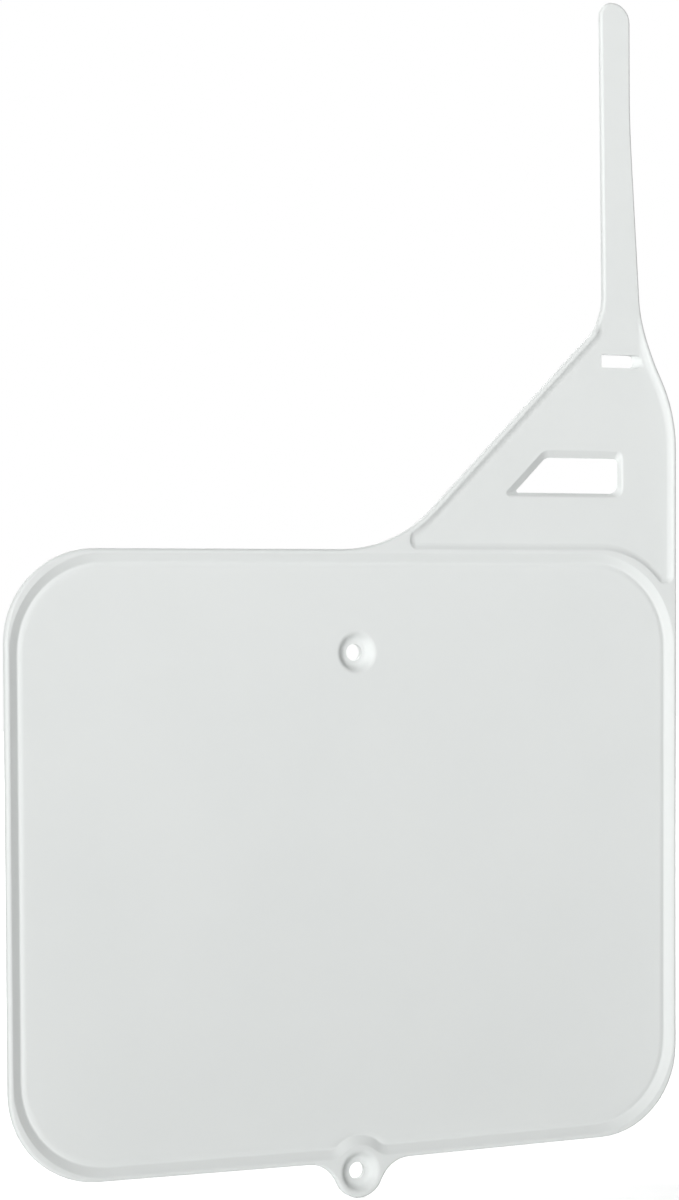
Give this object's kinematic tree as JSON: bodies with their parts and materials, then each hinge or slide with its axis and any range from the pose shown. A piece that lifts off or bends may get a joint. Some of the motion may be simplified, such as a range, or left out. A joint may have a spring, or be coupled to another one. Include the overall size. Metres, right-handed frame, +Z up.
{
  "type": "racing number board",
  "caption": "One-piece moulded front number board: tray-shaped plate with a raised rim, dished bolt seats, an arm with a window and a slot, and an integral tie-down strap.",
  "frame": {"origin": "centre of the upper bolt hole, at the back of its seat", "axes": "+Z up along the strap, front of the board towards -Y, +X to the viewer's right, where the arm and strap are"},
  "size_m": [0.2852, 0.0068, 0.4699],
  "materials": {
    "white_plastic": "satin injection-moulded polypropylene, pale cool white"
  },
  "bodies": {
    "root": {"number_board": "white_plastic"}
  },
  "joints": []
}
